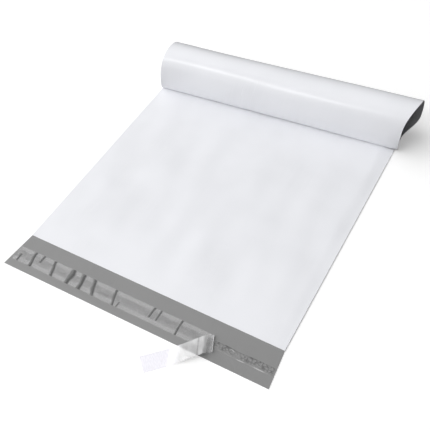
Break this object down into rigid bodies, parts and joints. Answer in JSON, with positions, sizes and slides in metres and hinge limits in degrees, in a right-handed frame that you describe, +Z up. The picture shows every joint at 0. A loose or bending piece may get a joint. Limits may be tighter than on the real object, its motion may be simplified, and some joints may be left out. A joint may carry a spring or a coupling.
{
  "type": "poly mailer bag",
  "caption": "Flat film mailing bag with an open grey-lined sealing flap, an adhesive strip under a part-peeled release liner, and a curled far end.",
  "frame": {"origin": "middle of the whole bag's box, on the surface that the bag lies on", "axes": "+Y from the sealing flap to the curled end, +X across the bag to the open end of the curl, +Z up"},
  "size_m": [0.347, 0.491, 0.0612],
  "materials": {
    "white_film": "white polythene film, satin, softly wrinkled",
    "grey_film": "grey inner face of the same film, low sheen",
    "adhesive": "thin clear hot-melt adhesive over grey film, wet-looking and slightly rippled",
    "clear_liner": "thin clear plastic release liner, glossy, with crossways tunnels"
  },
  "bodies": {
    "root": {"bag_film": "white_film", "grey_inner_ply": "grey_film", "adhesive_strip": "adhesive", "release_liner": "clear_liner"}
  },
  "joints": []
}
